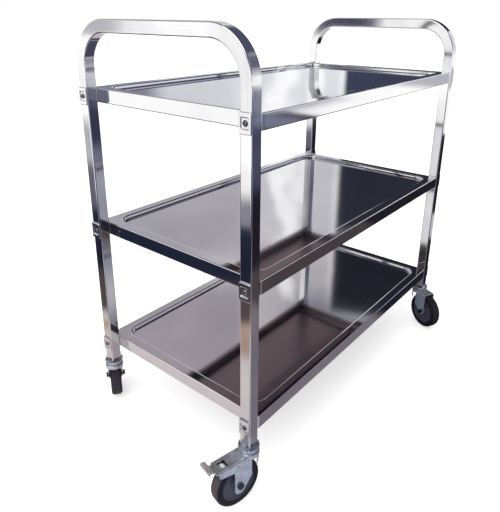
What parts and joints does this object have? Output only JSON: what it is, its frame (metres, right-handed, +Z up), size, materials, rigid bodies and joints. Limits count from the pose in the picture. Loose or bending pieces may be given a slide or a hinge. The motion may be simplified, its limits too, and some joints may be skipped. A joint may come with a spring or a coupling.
{
  "type": "kitchen trolley",
  "caption": "Stainless steel serving trolley: two bent square-tube end frames with push handles, pressed tray shelves bolted between them, and swivel casters.",
  "frame": {"origin": "on the floor under the middle of the trolley", "axes": "+X along the shelves towards the right end frame, +Y across the shelves towards the back, +Z up"},
  "size_m": [1.0434, 0.5792, 0.9],
  "materials": {
    "frame_steel": "brushed along the tube, near mirror",
    "shelf_steel": "bright rolled sheet",
    "stiffener_steel": "mill finish sheet",
    "plate_steel": "pressed, polished",
    "bolt_steel": "turned stainless",
    "axle_steel": "blackened bolt",
    "ball_steel": "polished balls",
    "zinc_plate": "bright blue zinc plating on pressed steel",
    "pedal_steel": "zinc plated, dull",
    "plug_nylon": "moulded",
    "hub_plastic": "moulded, satin",
    "tyre_rubber": "moulded grey rubber"
  },
  "bodies": {
    "cart": {"left_frame": "frame_steel", "right_frame": "frame_steel", "top_shelf": "shelf_steel", "top_stiffener": "stiffener_steel", "top_joint_plates": "plate_steel", "top_bolts": "bolt_steel", "top_washers": "bolt_steel", "top_nuts": "bolt_steel", "middle_shelf": "shelf_steel", "middle_stiffener": "stiffener_steel", "middle_joint_plates": "plate_steel", "middle_bolts": "bolt_steel", "middle_washers": "bolt_steel", "middle_nuts": "bolt_steel", "bottom_shelf": "shelf_steel", "bottom_stiffener": "stiffener_steel", "bottom_joint_plates": "plate_steel", "bottom_bolts": "bolt_steel", "bottom_washers": "bolt_steel", "bottom_nuts": "bolt_steel", "front_left_plug": "plug_nylon", "front_left_stem": "zinc_plate", "front_right_plug": "plug_nylon", "front_right_stem": "zinc_plate", "rear_left_plug": "plug_nylon", "rear_left_stem": "zinc_plate", "rear_right_plug": "plug_nylon", "rear_right_stem": "zinc_plate"},
    "front_left_caster": {"front_left_fork": "zinc_plate", "front_left_balls": "ball_steel", "front_left_sleeve": "bolt_steel", "front_left_axle": "axle_steel", "front_left_axle_nut": "axle_steel", "front_left_brake_pin": "zinc_plate"},
    "front_left_wheel": {"front_left_hub": "hub_plastic", "front_left_tyre": "tyre_rubber"},
    "front_left_brake": {"front_left_brake_pedal": "pedal_steel"},
    "front_right_caster": {"front_right_fork": "zinc_plate", "front_right_balls": "ball_steel", "front_right_sleeve": "bolt_steel", "front_right_axle": "axle_steel", "front_right_axle_nut": "axle_steel"},
    "front_right_wheel": {"front_right_hub": "hub_plastic", "front_right_tyre": "tyre_rubber"},
    "rear_left_caster": {"rear_left_fork": "zinc_plate", "rear_left_balls": "ball_steel", "rear_left_sleeve": "bolt_steel", "rear_left_axle": "axle_steel", "rear_left_axle_nut": "axle_steel"},
    "rear_left_wheel": {"rear_left_hub": "hub_plastic", "rear_left_tyre": "tyre_rubber"},
    "rear_right_caster": {"rear_right_fork": "zinc_plate", "rear_right_balls": "ball_steel", "rear_right_sleeve": "bolt_steel", "rear_right_axle": "axle_steel", "rear_right_axle_nut": "axle_steel", "rear_right_brake_pin": "zinc_plate"},
    "rear_right_wheel": {"rear_right_hub": "hub_plastic", "rear_right_tyre": "tyre_rubber"},
    "rear_right_brake": {"rear_right_brake_pedal": "pedal_steel"}
  },
  "joints": [
    {"name": "front_left_swivel", "type": "hinge", "parent": "cart", "child": "front_left_caster", "pos_m": [-0.4175, -0.2125, 0.109], "axis": [0, 0, 1], "continuous": true},
    {"name": "front_left_roll", "type": "hinge", "parent": "front_left_caster", "child": "front_left_wheel", "pos_m": [-0.45014, -0.20496, 0.051], "axis": [-0.225, -0.9744, 0], "continuous": true},
    {"name": "front_left_brake_press", "type": "hinge", "parent": "front_left_caster", "child": "front_left_brake", "pos_m": [-0.48766, -0.1963, 0.1015], "axis": [-0.225, -0.9744, 0], "range_deg": [0, 15]},
    {"name": "front_right_swivel", "type": "hinge", "parent": "cart", "child": "front_right_caster", "pos_m": [0.4175, -0.2125, 0.109], "axis": [0, 0, 1], "continuous": true},
    {"name": "front_right_roll", "type": "hinge", "parent": "front_right_caster", "child": "front_right_wheel", "pos_m": [0.40281, -0.24261, 0.051], "axis": [0.8988, -0.4384, 0], "continuous": true},
    {"name": "rear_left_swivel", "type": "hinge", "parent": "cart", "child": "rear_left_caster", "pos_m": [-0.4175, 0.2125, 0.109], "axis": [0, 0, 1], "continuous": true},
    {"name": "rear_left_roll", "type": "hinge", "parent": "rear_left_caster", "child": "rear_left_wheel", "pos_m": [-0.39877, 0.24027, 0.051], "axis": [-0.829, 0.5592, 0], "continuous": true},
    {"name": "rear_right_swivel", "type": "hinge", "parent": "cart", "child": "rear_right_caster", "pos_m": [0.4175, 0.2125, 0.109], "axis": [0, 0, 1], "continuous": true},
    {"name": "rear_right_roll", "type": "hinge", "parent": "rear_right_caster", "child": "rear_right_wheel", "pos_m": [0.45014, 0.20496, 0.051], "axis": [0.225, 0.9744, 0], "continuous": true},
    {"name": "rear_right_brake_press", "type": "hinge", "parent": "rear_right_caster", "child": "rear_right_brake", "pos_m": [0.48766, 0.1963, 0.1015], "axis": [0.225, 0.9744, 0], "range_deg": [0, 15]}
  ]
}
